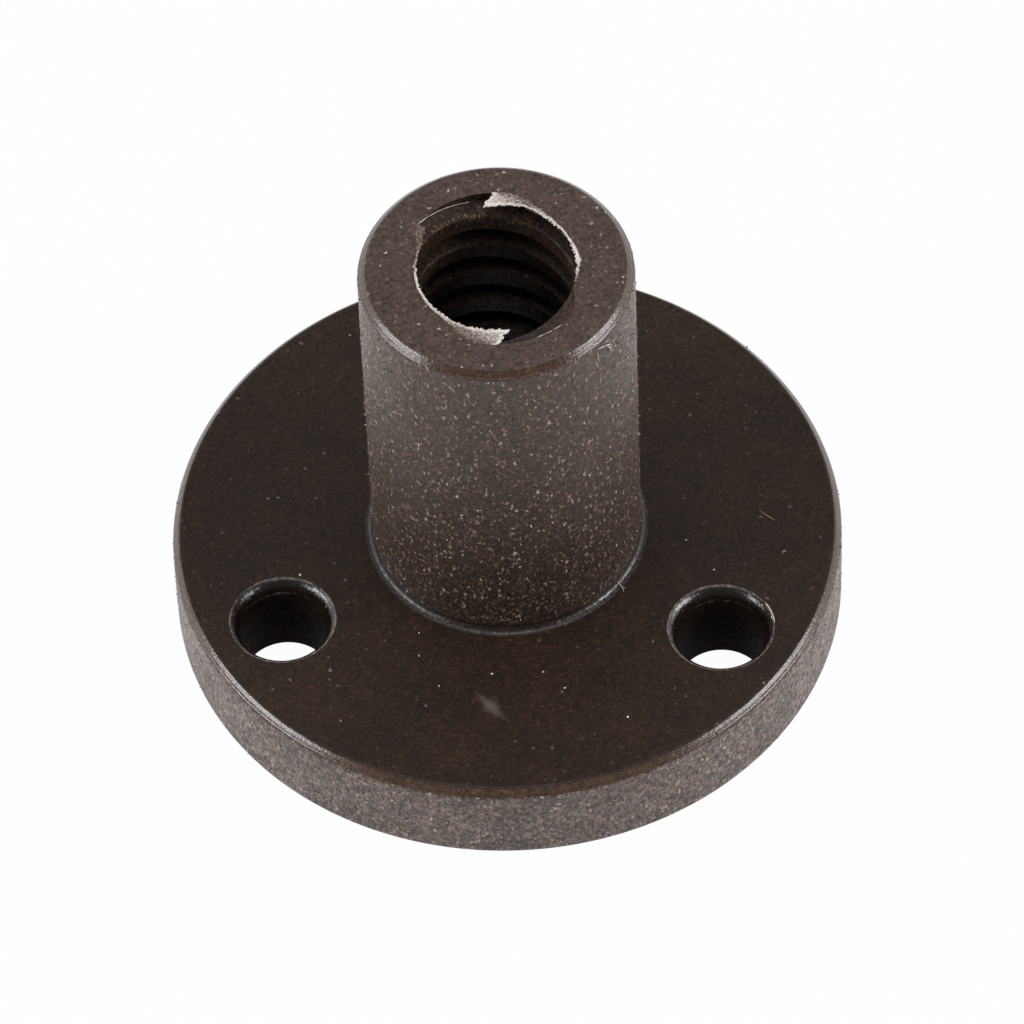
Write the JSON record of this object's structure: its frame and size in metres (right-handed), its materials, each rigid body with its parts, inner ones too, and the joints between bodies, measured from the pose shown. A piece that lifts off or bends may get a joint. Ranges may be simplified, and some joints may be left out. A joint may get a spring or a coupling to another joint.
{
  "type": "lead screw flange nut",
  "caption": "One-piece plastic lead screw nut: a round bolt flange carries a straight barrel, and a right-hand trapezoidal thread runs right through both.",
  "frame": {"origin": "centre of the flange's flat underside, on the bore's axis", "axes": "+Z runs along the bore from the flange to the barrel's free end; +X and +Y lie in the flange's plane, with the picture taken from the -Y side"},
  "size_m": [0.0254, 0.0254, 0.0188],
  "materials": {
    "filled_acetal": "turned, satin end faces with a grainy outside"
  },
  "bodies": {
    "root": {"flange_nut": "filled_acetal"}
  },
  "joints": []
}
